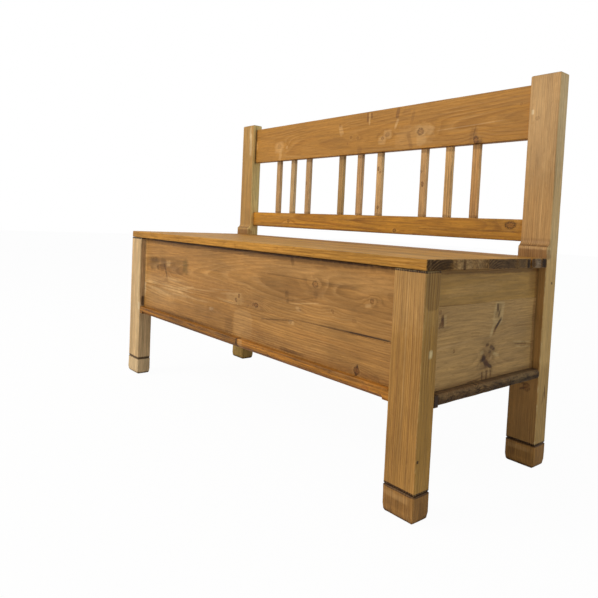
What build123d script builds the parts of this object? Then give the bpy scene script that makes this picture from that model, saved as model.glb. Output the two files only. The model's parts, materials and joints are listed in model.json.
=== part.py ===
import os

from build123d import *

os.makedirs("parts", exist_ok=True)

# Pine bench bed. X runs along the bench, -Y is the front, +Z is up, and the origin lies on the
# floor under the middle. The front half with its legs pulls out along -Y, and the seat lifts up.

# Overall sizes, over the legs and posts
bench_length = 1200.0
bench_depth = 448.0
seat_height = 460.0
back_height = 855.0

# Legs, posts and their foot blocks
leg_width = 71.0
leg_depth = 42.0
post_width = 69.0
post_depth = 45.0
step_depth = 10.0  # the post is cut back this far above its cove
step_above_seat = 38.0  # where the cove ends
step_rise = 14.0
post_top_bevel = 2.5
stile_round = 2.0  # worn vertical arrises of the legs
post_bevel = 1.5
foot_height = 53.0
foot_proud = 1.0
foot_end_round = 6.0  # under the left and right sides of a foot
foot_edge_round = 2.0  # under its front and back
foot_arris = 1.5
foot_groove = 1.6  # half of the open joint line between foot and leg
spigot_radius = 11.0
spigot_length = 30.0
spigot_play = 0.05
spigot_end_gap = 1.0

# Back rest
rail_thickness = 22.0
top_rail_drop = 16.0  # below the tops of the posts
top_rail_height = 119.0
lower_rail_above_seat = 32.5
lower_rail_height = 49.5
rail_round = 2.0
rail_tenon_length = 30.0
rail_tenon_thickness = 12.0
rail_tenon_shoulder = 9.0
spindle_width = 21.0
spindle_thickness = 12.0
spindle_bevel = 1.0
spindle_pitch = 79.0
spindle_shift = -4.0  # the whole set stands a little left of the middle
spindle_groups = 3
spindles_in_group = 3
spindle_end_gap = 137.0  # from the post to the middle of the outermost spindle
stub_length = 10.0
stub_shoulder = 2.5

# Seat: the hinge board at the back is fixed, the two boards before it are the lid
seat_thickness = 20.0
lid_rest_gap = 0.3
lid_front_width = 184.0
lid_corner_round = 4.0  # worn left corner
lid_end_round = 3.0
lid_front_bevel = 1.5
lid_rear_round = 2.5
hinge_board_rear_round = 3.0
hinge_board_front = 343.0  # from the front face of the legs
hinge_gap = 6.0
batten_width = 60.0
batten_thickness = 18.0
batten_length = 250.0
batten_end_inset = 300.0  # from the bench's end to the batten's middle
batten_end_bevel = 8.0
batten_front = 62.0
batten_screw_offset = 15.0  # from the batten's middle line

# Box panels and bottom
sill_depth = 51.0
sill_setback = 2.0
sill_thickness = 22.0
sill_top = 222.0
sill_joint_x = 32.0
sill_bevel = 8.0
bevel_stop_inset = 15.0
front_recess = 15.0
front_board_thickness = 22.0
front_board_drop = 2.0  # below the tops of the legs
front_seam = 300.0
side_inset = 17.0
side_board_thickness = 18.0
side_seam = 374.0
side_rear_gap = 2.0
side_head_gap = 0.5
panel_tongue_length = 10.0
panel_tongue_thickness = 8.0
tongue_stop = 12.0
inner_side_thickness = 20.0
inner_side_front_gap = 2.0
inner_tenon_length = 15.0
inner_tenon_thickness = 10.0
inner_tenon_shoulder = 18.0
back_board_thickness = 20.0
back_board_inset = 4.0
back_board_drop = 25.0
back_seam = 310.0
bottom_front_gap = 1.0
bottom_seam = 289.0  # from the front face of the legs
bottom_end_round = 8.0
ledger_depth = 20.0

# Pull-out
pull_out_length = 270.0
slide_play = 0.5
stop_play = 1.0
runner_height = 30.0
runner_rear_gap = 3.0
slat_count = 6
slat_width = 90.0
slat_thickness = 18.0
slat_end_gap = 30.0  # between the runner and the first slat
slat_rear_gap = 2.0
tie_depth = 34.0
tie_height = 18.0
tie_end_gap = 2.0
cleat_width = 25.0
cleat_depth = 25.0

# Hinges and screws
hinge_end_inset = 200.0  # from the bench's end to the hinge's middle
hinge_length = 60.0
hinge_leaf = 1.5
hinge_leaf_height = 13.0
knuckle_count = 3
knuckle_gap = 0.3
barrel_play = 0.3
pin_radius = 1.5
pin_play = 0.05
hinge_screw_count = 2
hinge_screw_pitch = 34.0
screw_sides = 8
screw_radius = 1.5
screw_head_radius = 2.8
screw_head_height = 1.3
screw_tip_radius = 0.5
screw_length = 14.0
batten_screw_radius = 2.0
batten_screw_head_radius = 4.0
batten_screw_head_height = 2.0
batten_screw_length = 30.0
screw_play = 0.05

# Fits and arrises
tenon_play = 0.1
arris = 1.0
seam_arris = 0.5
cut_over = 1.0  # cuts start this far outside the wood

# Planes worked out from the sizes above
half_length = bench_length / 2
front = -bench_depth / 2
rear = bench_depth / 2
leg_inner = half_length - leg_width
leg_rear = front + leg_depth
post_inner = half_length - post_width
post_front = rear - post_depth
upper_front = post_front + step_depth
step_top = seat_height + step_above_seat
step_bottom = step_top - step_rise
rail_front = rear - rail_thickness
rail_middle = rear - rail_thickness / 2
top_rail_top = back_height - top_rail_drop
top_rail_bottom = top_rail_top - top_rail_height
lower_rail_bottom = seat_height + lower_rail_above_seat
lower_rail_top = lower_rail_bottom + lower_rail_height
case_top = seat_height - seat_thickness
lid_bottom = case_top + lid_rest_gap
sill_front = front + sill_setback
sill_rear = sill_front + sill_depth
sill_bottom = sill_top - sill_thickness
bottom_top = sill_top - slide_play
bottom_front = sill_rear + bottom_front_gap
bottom_joint = front + bottom_seam
front_board_face = front + front_recess
front_board_rear = front_board_face + front_board_thickness
front_tongue_y = (front_board_face + front_board_rear) / 2
front_board_top = case_top - front_board_drop
side_outer = half_length - side_inset
side_inner = side_outer - side_board_thickness
side_tongue_x = (side_outer + side_inner) / 2
side_top = case_top - side_head_gap
side_rear = post_front - side_rear_gap
inner_outer = side_inner - slide_play
inner_inner = inner_outer - inner_side_thickness
inner_middle = (inner_outer + inner_inner) / 2
inner_front = leg_rear + inner_side_front_gap
runner_top = sill_top + runner_height
runner_inner = inner_inner + slide_play
inner_bottom = runner_top + slide_play
runner_rear = post_front - runner_rear_gap
back_rear = rear - back_board_inset
back_front = back_rear - back_board_thickness
back_middle = (back_front + back_rear) / 2
back_bottom = sill_bottom - back_board_drop
tongue_top = case_top - tongue_stop
slat_rear = back_front - slat_rear_gap
slat_top = sill_top + slat_thickness
slat_pitch = 2 * (runner_inner - slat_end_gap - slat_width / 2) / (slat_count - 1)
tie_front = slat_rear - tie_depth
tie_half = post_inner - tie_end_gap
cleat_rear = tie_front - pull_out_length - stop_play
cleat_front = cleat_rear - cleat_depth
cleat_inner = inner_inner - cleat_width
hinge_board_edge = front + hinge_board_front
lid_rear = hinge_board_edge - hinge_gap
lid_joint = front + lid_front_width
batten_x = half_length - batten_end_inset
hinge_x = half_length - hinge_end_inset
barrel_radius = hinge_gap / 2 - barrel_play
hinge_y = lid_rear + hinge_gap / 2
hinge_z = seat_height - hinge_gap / 2
leaf_top = hinge_z - barrel_radius - knuckle_gap
leaf_bottom = hinge_z - hinge_leaf_height
hinge_screw_z = (leaf_top + leaf_bottom) / 2
knuckle_pitch = hinge_length / knuckle_count

sides = (("left", -1), ("right", 1))


def area(end_u, other_u, low_v, high_v):
    """Add a rectangle to the sketch that is being built; its two ends may come in either order."""
    with Locations(((end_u + other_u) / 2, (low_v + high_v) / 2)):
        Rectangle(abs(other_u - end_u), high_v - low_v)


def block(low, high, mode=Mode.ADD):
    """Add or cut a square-edged block between two corners in the part that is being built."""
    with BuildSketch(Plane.XY.offset(low[2])) as outline:
        area(low[0], high[0], low[1], high[1])
    extrude(outline.sketch, amount=high[2] - low[2], mode=mode)


def screw(head_plane, radius, head_radius, head_height, length, play=0.0, mode=Mode.ADD):
    """Add a countersunk screw that points along the plane's normal, or cut the hole that it fits."""
    sections = []
    for depth, size in (
        (0, head_radius),
        (head_height, radius),
        (length - 2 * radius, radius),
        (length, screw_tip_radius),
    ):
        with BuildSketch(head_plane.offset(depth)) as section:
            RegularPolygon(size + play, screw_sides)
        sections.append(section.sketch)
    loft(sections, ruled=True, mode=mode)


def hinge_screws_at(head_y, direction, **options):
    """Add the screws of both hinges to a leaf's board, or cut their holes."""
    for x, z in hinge_screw_places:
        head_plane = Plane(origin=(x, head_y, z), x_dir=(1, 0, 0), z_dir=(0, direction, 0))
        screw(head_plane, screw_radius, screw_head_radius, screw_head_height, screw_length, **options)


def batten_screws_at(places, **options):
    """Add the screws that hold the lid's battens, or cut their holes."""
    for x, y in places:
        head_plane = Plane(origin=(x, y, batten_bottom), x_dir=(1, 0, 0), z_dir=(0, 0, 1))
        screw(head_plane, batten_screw_radius, batten_screw_head_radius,
              batten_screw_head_height, batten_screw_length, **options)


# Posts, one stick each from foot to top, with a cove where they are cut back above the seat
for side, sign in sides:
    with BuildPart() as post:
        with BuildSketch(Plane.YZ.offset(min(sign * post_inner, sign * half_length))):
            with BuildLine():
                Polyline((post_front, step_bottom), (post_front, foot_height), (rear, foot_height),
                         (rear, back_height), (upper_front, back_height), (upper_front, step_top))
                TangentArc((upper_front, step_top), (post_front, step_bottom), tangent=(0, -1))
            make_face()
        extrude(amount=post_width)
        chamfer(post.edges().group_by(Axis.Z)[-1], post_top_bevel)
        chamfer(post.edges().filter_by(Axis.Z), post_bevel)
        chamfer(post.edges().group_by(Axis.Z)[0], foot_groove)
        for low, high in ((top_rail_bottom, top_rail_top), (lower_rail_bottom, lower_rail_top)):
            block(
                (sign * (post_inner - cut_over), rail_middle - rail_tenon_thickness / 2 - tenon_play,
                 low + rail_tenon_shoulder - tenon_play),
                (sign * (post_inner + rail_tenon_length + tenon_play),
                 rail_middle + rail_tenon_thickness / 2 + tenon_play,
                 high - rail_tenon_shoulder + tenon_play),
                mode=Mode.SUBTRACT,
            )
        block(
            (sign * (post_inner - cut_over), back_middle - panel_tongue_thickness / 2 - tenon_play,
             back_bottom - tenon_play),
            (sign * (post_inner + panel_tongue_length + tenon_play),
             back_middle + panel_tongue_thickness / 2 + tenon_play, case_top + tenon_play),
            mode=Mode.SUBTRACT,
        )
        block(
            (sign * (inner_middle - inner_tenon_thickness / 2 - tenon_play), post_front - cut_over,
             inner_bottom + inner_tenon_shoulder - tenon_play),
            (sign * (inner_middle + inner_tenon_thickness / 2 + tenon_play),
             post_front + inner_tenon_length + tenon_play,
             case_top - inner_tenon_shoulder + tenon_play),
            mode=Mode.SUBTRACT,
        )
        with BuildSketch(Plane.XY.offset(foot_height)):
            with Locations((sign * (post_inner + half_length) / 2, (post_front + rear) / 2)):
                Circle(spigot_radius + spigot_play)
        extrude(amount=spigot_length + spigot_end_gap, mode=Mode.SUBTRACT)
    post.part.label = f"back_post_{side}"
    export_step(post.part, f"parts/back_post_{side}.step")

# Front legs, grooved for the front boards and for the end boards
for side, sign in sides:
    with BuildPart() as leg:
        block((sign * leg_inner, front, foot_height), (sign * half_length, leg_rear, case_top))
        fillet(leg.edges().filter_by(Axis.Z), stile_round)
        chamfer(leg.edges().group_by(Axis.Z)[0], foot_groove)
        block(
            (sign * (leg_inner - cut_over), front_tongue_y - panel_tongue_thickness / 2 - tenon_play,
             sill_top),
            (sign * (leg_inner + panel_tongue_length + tenon_play),
             front_tongue_y + panel_tongue_thickness / 2 + tenon_play, tongue_top + tenon_play),
            mode=Mode.SUBTRACT,
        )
        block(
            (sign * (side_tongue_x - panel_tongue_thickness / 2 - tenon_play),
             leg_rear - panel_tongue_length - tenon_play, sill_top),
            (sign * (side_tongue_x + panel_tongue_thickness / 2 + tenon_play), leg_rear + cut_over,
             tongue_top + tenon_play),
            mode=Mode.SUBTRACT,
        )
        with BuildSketch(Plane.XY.offset(foot_height)):
            with Locations((sign * (leg_inner + half_length) / 2, (front + leg_rear) / 2)):
                Circle(spigot_radius + spigot_play)
        extrude(amount=spigot_length + spigot_end_gap, mode=Mode.SUBTRACT)
    leg.part.label = f"front_leg_{side}"
    export_step(leg.part, f"parts/front_leg_{side}.step")

# Foot blocks, rounded under every side and let into the worn ends with a turned spigot
for end, inner, low_y, high_y in (
    ("front", leg_inner, front, leg_rear),
    ("back", post_inner, post_front, rear),
):
    for side, sign in sides:
        foot_x = (sign * inner, sign * half_length)
        low_x, high_x = min(foot_x) - foot_proud, max(foot_x) + foot_proud
        with BuildPart() as foot:
            with BuildSketch(Plane.XZ.offset(-(low_y - foot_proud))) as elevation:
                area(low_x, high_x, 0, foot_height)
                fillet(elevation.vertices().group_by(Axis.Y)[0], foot_end_round)
            extrude(amount=-(high_y - low_y + 2 * foot_proud))
            with BuildSketch(Plane.YZ.offset(low_x)) as section:
                area(low_y - foot_proud, high_y + foot_proud, 0, foot_height)
                fillet(section.vertices().group_by(Axis.Y)[0], foot_edge_round)
            extrude(amount=high_x - low_x, mode=Mode.INTERSECT)
            with BuildSketch() as footprint:
                area(low_x, high_x, low_y - foot_proud, high_y + foot_proud)
                chamfer(footprint.vertices(), foot_arris)
            extrude(amount=foot_height, mode=Mode.INTERSECT)
            chamfer(foot.edges().group_by(Axis.Z)[-1], foot_groove)
            with BuildSketch(Plane.XY.offset(foot_height)):
                with Locations(((low_x + high_x) / 2, (low_y + high_y) / 2)):
                    Circle(spigot_radius)
            extrude(amount=spigot_length)
        foot.part.label = f"{end}_foot_{side}"
        export_step(foot.part, f"parts/{end}_foot_{side}.step")

# Rails of the back rest, tenoned into the posts and mortised for the spindles
first_group = -(spindle_groups - 1) / 2
first_in_group = -(spindles_in_group - 1) / 2
group_pitch = (post_inner - spindle_end_gap + first_in_group * spindle_pitch) / -first_group
spindle_places = [
    spindle_shift + (first_group + group) * group_pitch + (first_in_group + place) * spindle_pitch
    for group in range(spindle_groups)
    for place in range(spindles_in_group)
]
stub_width = spindle_width - 2 * stub_shoulder
stub_thickness = spindle_thickness - 2 * stub_shoulder
for name, low, high, mortise_face, mortise_depth in (
    ("top_rail", top_rail_bottom, top_rail_top, top_rail_bottom, stub_length),
    ("lower_back_rail", lower_rail_bottom, lower_rail_top, lower_rail_top, -stub_length),
):
    with BuildPart() as rail:
        block((-post_inner, rail_front, low), (post_inner, rear, high))
        fillet(rail.edges().filter_by(Axis.X), rail_round)
        block(
            (-post_inner - rail_tenon_length, rail_middle - rail_tenon_thickness / 2,
             low + rail_tenon_shoulder),
            (post_inner + rail_tenon_length, rail_middle + rail_tenon_thickness / 2,
             high - rail_tenon_shoulder),
        )
        with BuildSketch(Plane.XY.offset(mortise_face)):
            with Locations(*[(x, rail_middle) for x in spindle_places]):
                Rectangle(stub_width + 2 * tenon_play, stub_thickness + 2 * tenon_play)
        extrude(amount=mortise_depth + tenon_play * (1 if mortise_depth > 0 else -1),
                mode=Mode.SUBTRACT)
    rail.part.label = name
    export_step(rail.part, f"parts/{name}.step")

# Spindles, flat bars with a stub tenon at each end
for number, x in enumerate(spindle_places, start=1):
    with BuildPart() as spindle:
        with BuildSketch(Plane.XY.offset(lower_rail_top)):
            with Locations((x, rail_middle)):
                Rectangle(spindle_width, spindle_thickness)
        extrude(amount=top_rail_bottom - lower_rail_top)
        chamfer(spindle.edges().filter_by(Axis.Z), spindle_bevel)
        with BuildSketch(Plane.XY.offset(lower_rail_top - stub_length)):
            with Locations((x, rail_middle)):
                Rectangle(stub_width, stub_thickness)
        extrude(amount=top_rail_bottom - lower_rail_top + 2 * stub_length)
    spindle.part.label = f"spindle_{number}"
    export_step(spindle.part, f"parts/spindle_{number}.step")

# Hinge board: the fixed strip of the seat, notched round the posts
hinge_screw_places = [
    (sign * hinge_x + (index - (hinge_screw_count - 1) / 2) * hinge_screw_pitch, hinge_screw_z)
    for _, sign in sides
    for index in range(hinge_screw_count)
]
with BuildPart() as hinge_board:
    with BuildSketch(Plane.XY.offset(case_top)):
        area(-half_length, half_length, hinge_board_edge, post_front)
        area(-post_inner, post_inner, post_front, rear)
    extrude(amount=seat_thickness)
    fillet(hinge_board.edges().group_by(Axis.Z)[-1].group_by(Axis.Y)[0], lid_rear_round)
    fillet(hinge_board.edges().group_by(Axis.Z)[-1].group_by(Axis.Y)[-1], hinge_board_rear_round)
    hinge_screws_at(hinge_board_edge - hinge_leaf, 1, play=screw_play, mode=Mode.SUBTRACT)
hinge_board.part.label = "hinge_board"
export_step(hinge_board.part, "parts/hinge_board.step")

# Lid: two boards edge to edge, held by two battens screwed on from below
batten_middle = front + batten_front + batten_length / 2
batten_screw_rows = ((front + batten_front + lid_joint) / 2, (lid_joint + lid_rear) / 2)
batten_screw_places = [
    (sign * batten_x + offset * batten_screw_offset, y)
    for _, sign in sides
    for offset in (-1, 1)
    for y in batten_screw_rows
]
batten_bottom = lid_bottom - batten_thickness
with BuildPart() as lid_board_front:
    with BuildSketch(Plane.XY.offset(lid_bottom)) as plan:
        area(-half_length, half_length, front, lid_joint)
        fillet(plan.vertices().group_by(Axis.Y)[0].sort_by(Axis.X)[0], lid_corner_round)
        fillet(plan.vertices().group_by(Axis.Y)[0].sort_by(Axis.X)[-1], lid_end_round)
    extrude(amount=seat_height - lid_bottom)
    joint_edges = lid_board_front.edges().filter_by(Axis.X).group_by(Axis.Y)[-1]
    chamfer(joint_edges.group_by(Axis.Z)[-1], seam_arris)
    chamfer(lid_board_front.edges().filter_by(Axis.X).group_by(Axis.Y)[0], lid_front_bevel)
    front_places = [place for place in batten_screw_places if place[1] < lid_joint]
    batten_screws_at(front_places, play=screw_play, mode=Mode.SUBTRACT)
lid_board_front.part.label = "lid_board_front"
export_step(lid_board_front.part, "parts/lid_board_front.step")

with BuildPart() as lid_board_rear:
    block((-half_length, lid_joint, lid_bottom), (half_length, lid_rear, seat_height))
    chamfer(lid_board_rear.edges().group_by(Axis.Z)[-1].group_by(Axis.Y)[0], seam_arris)
    fillet(lid_board_rear.edges().group_by(Axis.Z)[-1].group_by(Axis.Y)[-1], lid_rear_round)
    rear_places = [place for place in batten_screw_places if place[1] > lid_joint]
    batten_screws_at(rear_places, play=screw_play, mode=Mode.SUBTRACT)
    hinge_screws_at(lid_rear + hinge_leaf, -1, play=screw_play, mode=Mode.SUBTRACT)
lid_board_rear.part.label = "lid_board_rear"
export_step(lid_board_rear.part, "parts/lid_board_rear.step")

for side, sign in sides:
    with BuildPart() as batten:
        block(
            (sign * batten_x - batten_width / 2, front + batten_front, batten_bottom),
            (sign * batten_x + batten_width / 2, front + batten_front + batten_length, lid_bottom),
        )
        chamfer(batten.edges().filter_by(Axis.X).group_by(Axis.Z)[0], batten_end_bevel)
        own_places = [place for place in batten_screw_places if place[0] * sign > 0]
        batten_screws_at(own_places, play=screw_play, mode=Mode.SUBTRACT)
    batten.part.label = f"lid_batten_{side}"
    export_step(batten.part, f"parts/lid_batten_{side}.step")

with BuildPart() as batten_screws:
    batten_screws_at(batten_screw_places)
batten_screws.part.label = "batten_screws"
export_step(batten_screws.part, "parts/batten_screws.step")

# Front boards, tongued into the legs and standing on the sill
for name, low, high in (
    ("front_board_lower", sill_top, front_seam),
    ("front_board_upper", front_seam, front_board_top),
):
    with BuildPart() as front_board:
        block((-leg_inner, front_board_face, low), (leg_inner, front_board_rear, high))
        face_edges = front_board.edges().filter_by(Axis.X).group_by(Axis.Y)[0]
        chamfer(face_edges.group_by(Axis.Z)[0 if low == front_seam else -1], arris)
        block(
            (-leg_inner - panel_tongue_length, front_tongue_y - panel_tongue_thickness / 2, low),
            (leg_inner + panel_tongue_length, front_tongue_y + panel_tongue_thickness / 2,
             min(high, tongue_top)),
        )
    front_board.part.label = name
    export_step(front_board.part, f"parts/{name}.step")

# Sill under the front boards, in two lengths, notched round the legs, with a stopped bevel
for side, sign, low_x, high_x in (
    ("left", -1, -leg_inner, sill_joint_x),
    ("right", 1, sill_joint_x, leg_inner),
):
    with BuildPart() as sill:
        with BuildSketch(Plane.XY.offset(sill_bottom)):
            area(low_x, high_x, sill_front, sill_rear)
            area(sign * leg_inner, sign * half_length, leg_rear, sill_rear)
        extrude(amount=sill_thickness)
        sill_face = sill.edges().filter_by(Axis.X).group_by(Axis.Y)[0]
        fillet(sill_face.group_by(Axis.Z)[-1], stile_round)
        bevel_plane = Plane(
            origin=(0, sill_front + sill_bevel / 2, sill_bottom + sill_bevel / 2),
            x_dir=(1, 0, 0),
            z_dir=(0, -1, -1),
        )
        with BuildSketch(bevel_plane):
            SlotOverall(2 * (leg_inner - bevel_stop_inset), 2 * sill_bevel)
        extrude(amount=sill_bevel, mode=Mode.SUBTRACT)
    sill.part.label = f"sill_{side}"
    export_step(sill.part, f"parts/sill_{side}.step")

# End boards of the pull-out, tongued into the legs and standing on the sill's ends
for side, sign in sides:
    for level, low, high in (("lower", sill_top, side_seam), ("upper", side_seam, side_top)):
        with BuildPart() as side_board:
            block((sign * side_inner, leg_rear, low), (sign * side_outer, side_rear, high))
            outer_edges = side_board.edges().filter_by(Axis.Y).sort_by(Axis.X)[::sign][-2:]
            chamfer(outer_edges.group_by(Axis.Z)[0 if low == side_seam else -1], seam_arris)
            block(
                (sign * (side_tongue_x - panel_tongue_thickness / 2),
                 leg_rear - panel_tongue_length, low),
                (sign * (side_tongue_x + panel_tongue_thickness / 2), leg_rear,
                 min(high, tongue_top)),
            )
        side_board.part.label = f"side_{side}_{level}"
        export_step(side_board.part, f"parts/side_{side}_{level}.step")

# Fixed inner sides, tenoned into the posts, with the runner's slot below them
for side, sign in sides:
    with BuildPart() as inner_side:
        block(
            (sign * inner_inner, inner_front, inner_bottom),
            (sign * inner_outer, post_front, case_top),
        )
        block(
            (sign * (inner_middle - inner_tenon_thickness / 2), post_front,
             inner_bottom + inner_tenon_shoulder),
            (sign * (inner_middle + inner_tenon_thickness / 2), post_front + inner_tenon_length,
             case_top - inner_tenon_shoulder),
        )
    inner_side.part.label = f"inner_side_{side}"
    export_step(inner_side.part, f"parts/inner_side_{side}.step")

    with BuildPart() as corner_cleat:
        block(
            (sign * cleat_inner, cleat_front, bottom_top),
            (sign * inner_inner, cleat_rear, case_top),
        )
        chamfer(corner_cleat.edges().filter_by(Axis.Z).group_by(Axis.X)[0 if sign > 0 else -1], arris)
    corner_cleat.part.label = f"corner_cleat_{side}"
    export_step(corner_cleat.part, f"parts/corner_cleat_{side}.step")

    with BuildPart() as runner:
        block((sign * runner_inner, leg_rear, sill_top), (sign * side_inner, runner_rear, runner_top))
        chamfer(runner.edges().group_by(Axis.Y)[-1], arris)
    runner.part.label = f"runner_{side}"
    export_step(runner.part, f"parts/runner_{side}.step")

# Back boards, tongued into the posts, and the ledger that the rear bottom board lies on
for name, low, high in (
    ("back_board_lower", back_bottom, back_seam),
    ("back_board_upper", back_seam, case_top),
):
    with BuildPart() as back_board:
        block((-post_inner, back_front, low), (post_inner, back_rear, high))
        chamfer(back_board.edges().filter_by(Axis.X).group_by(Axis.Y)[-1], arris)
        block(
            (-post_inner - panel_tongue_length, back_middle - panel_tongue_thickness / 2, low),
            (post_inner + panel_tongue_length, back_middle + panel_tongue_thickness / 2, high),
        )
    back_board.part.label = name
    export_step(back_board.part, f"parts/{name}.step")

with BuildPart() as bottom_ledger:
    block(
        (-post_inner, back_front - ledger_depth, back_bottom),
        (post_inner, back_front, sill_bottom),
    )
    chamfer(bottom_ledger.edges().filter_by(Axis.X).group_by(Axis.Y)[0].group_by(Axis.Z)[0], arris)
bottom_ledger.part.label = "bottom_ledger"
export_step(bottom_ledger.part, "parts/bottom_ledger.step")

# Bottom boards, laid lengthwise, whose rounded ends stand out under the end boards
with BuildPart() as bottom_board_front:
    block((-half_length, bottom_front, sill_bottom), (half_length, bottom_joint, bottom_top))
    fillet(bottom_board_front.edges().filter_by(Axis.Y), bottom_end_round)
bottom_board_front.part.label = "bottom_board_front"
export_step(bottom_board_front.part, "parts/bottom_board_front.step")

with BuildPart() as bottom_board_rear:
    with BuildSketch(Plane.XY.offset(sill_bottom)):
        area(-half_length, half_length, bottom_joint, post_front)
        area(-post_inner, post_inner, post_front, back_front)
    extrude(amount=bottom_top - sill_bottom)
    board_ends = bottom_board_rear.edges().filter_by(Axis.Y).group_by(Axis.X)
    fillet(board_ends[0] + board_ends[-1], bottom_end_round)
bottom_board_rear.part.label = "bottom_board_rear"
export_step(bottom_board_rear.part, "parts/bottom_board_rear.step")

# Slats of the pull-out and the rail that ties their tails
for index in range(slat_count):
    slat_x = (index - (slat_count - 1) / 2) * slat_pitch
    with BuildPart() as slat:
        block(
            (slat_x - slat_width / 2, front_board_rear, sill_top),
            (slat_x + slat_width / 2, slat_rear, slat_top),
        )
        chamfer(slat.edges().filter_by(Axis.Y).group_by(Axis.Z)[-1], arris)
    slat.part.label = f"slat_{index + 1}"
    export_step(slat.part, f"parts/slat_{index + 1}.step")

with BuildPart() as slat_tie_rail:
    block((-tie_half, tie_front, slat_top), (tie_half, slat_rear, slat_top + tie_height))
    chamfer(slat_tie_rail.edges().filter_by(Axis.X).group_by(Axis.Z)[-1], arris)
slat_tie_rail.part.label = "slat_tie_rail"
export_step(slat_tie_rail.part, "parts/slat_tie_rail.step")

# Hinges: rolled knuckles in the gap between lid and hinge board, alternating from leaf to leaf
for side, sign in sides:
    barrel_start = sign * hinge_x - hinge_length / 2
    for leaf_name, first_knuckle, wall_y, inward in (
        ("seat_leaf", 0, hinge_board_edge, -1),
        ("lid_leaf", 1, lid_rear, 1),
    ):
        leaf_faces = sorted((wall_y, wall_y + inward * hinge_leaf))
        with BuildPart() as leaf:
            block(
                (barrel_start, leaf_faces[0], leaf_bottom),
                (barrel_start + hinge_length, leaf_faces[1], leaf_top),
            )
            for knuckle in range(first_knuckle, knuckle_count, 2):
                knuckle_x = barrel_start + knuckle * knuckle_pitch + knuckle_gap / 2
                with BuildSketch(Plane.YZ.offset(knuckle_x)):
                    with Locations((hinge_y, hinge_z)):
                        Circle(barrel_radius)
                    area(leaf_faces[0], leaf_faces[1], leaf_bottom, hinge_z)
                    with Locations((hinge_y, hinge_z)):
                        Circle(pin_radius + pin_play, mode=Mode.SUBTRACT)
                extrude(amount=knuckle_pitch - knuckle_gap)
            head_y = wall_y + inward * hinge_leaf
            hinge_screws_at(head_y, -inward, play=screw_play, mode=Mode.SUBTRACT)
        leaf.part.label = f"hinge_{side}_{leaf_name}"
        export_step(leaf.part, f"parts/hinge_{side}_{leaf_name}.step")

    with BuildPart() as hinge_pin:
        with BuildSketch(Plane.YZ.offset(barrel_start)):
            with Locations((hinge_y, hinge_z)):
                Circle(pin_radius)
        extrude(amount=hinge_length)
    hinge_pin.part.label = f"hinge_{side}_pin"
    export_step(hinge_pin.part, f"parts/hinge_{side}_pin.step")

for name, wall_y, inward in (("seat", hinge_board_edge, -1), ("lid", lid_rear, 1)):
    with BuildPart() as hinge_screws:
        hinge_screws_at(wall_y + inward * hinge_leaf, -inward)
    hinge_screws.part.label = f"hinge_screws_{name}"
    export_step(hinge_screws.part, f"parts/hinge_screws_{name}.step")
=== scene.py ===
import json
import math
from functools import partial

import bmesh
import bpy
from mathutils import Matrix, Vector, noise


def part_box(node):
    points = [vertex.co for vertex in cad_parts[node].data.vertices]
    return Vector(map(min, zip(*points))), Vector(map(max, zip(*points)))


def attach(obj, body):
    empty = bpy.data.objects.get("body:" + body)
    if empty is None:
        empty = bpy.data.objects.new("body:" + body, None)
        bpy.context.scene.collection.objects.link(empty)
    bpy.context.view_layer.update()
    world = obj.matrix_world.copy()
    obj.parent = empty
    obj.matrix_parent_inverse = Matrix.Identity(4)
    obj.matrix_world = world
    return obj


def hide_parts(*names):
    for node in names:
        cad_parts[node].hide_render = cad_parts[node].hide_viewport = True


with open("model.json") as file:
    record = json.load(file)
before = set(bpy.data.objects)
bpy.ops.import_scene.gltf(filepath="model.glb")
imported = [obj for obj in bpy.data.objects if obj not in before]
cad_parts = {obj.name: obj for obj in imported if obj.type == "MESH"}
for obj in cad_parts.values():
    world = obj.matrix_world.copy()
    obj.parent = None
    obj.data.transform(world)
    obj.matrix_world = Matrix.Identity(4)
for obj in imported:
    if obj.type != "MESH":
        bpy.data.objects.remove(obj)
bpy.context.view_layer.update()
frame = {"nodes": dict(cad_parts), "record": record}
print("frame loaded:", len(frame["nodes"]), "pieces of wood and iron")

mm = 0.001


# Small tools

def linearColour(hexText):  # sRGB hex to the linear colour that shaders take
    channels = [int(hexText[i:i + 2], 16) / 255 for i in (1, 3, 5)]
    return [c / 12.92 if c <= 0.04045 else ((c + 0.055) / 1.055) ** 2.4 for c in channels] + [1]


def pickSocket(sockets, key):
    shown = [s for s in sockets if s.enabled]
    return shown[key] if isinstance(key, int) else next(s for s in shown if s.name == key)


def addNode(tree, kind, links, **settings):  # a node, its settings, then its links and values
    node = tree.nodes.new("ShaderNode" + kind)
    for name, value in settings.items():
        setattr(node, name, value)
    pairs = []
    for key, value in links.items():  # a tuple of sockets takes a tuple of values
        pairs += zip(key, value) if isinstance(key, tuple) else [(key, value)]
    for key, value in pairs:
        socket = pickSocket(node.inputs, key)
        if isinstance(value, bpy.types.Node):
            value = pickSocket(value.outputs, 0)
        if isinstance(value, bpy.types.NodeSocket):
            tree.links.new(value, socket)
        else:
            socket.default_value = linearColour(value) if isinstance(value, str) else value
    return node


fromEnds = ("From Min", "From Max")  # the ends of the two ranges between which a node maps
toEnds = ("To Min", "To Max")
eased = {"interpolation_type": "SMOOTHSTEP"}


def emptyTree(owner):  # clears a material's or a world's nodes; gives what adds nodes to it
    owner.use_nodes = True
    owner.node_tree.nodes.clear()
    return partial(addNode, owner.node_tree)


def newGroup(name, inputs, outputs):  # gives its tree, what adds nodes to it, its inputs and its outputs
    tree = bpy.data.node_groups.new(name, "ShaderNodeTree")
    for direction, sockets in (("INPUT", inputs), ("OUTPUT", outputs)):
        for kind, names in sockets.items():
            for socketName in names.split():
                tree.interface.new_socket(socketName, in_out=direction, socket_type="NodeSocket" + kind)
    take, give = tree.nodes.new("NodeGroupInput"), tree.nodes.new("NodeGroupOutput")
    return tree, partial(addNode, tree), take.outputs, give.inputs


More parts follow.
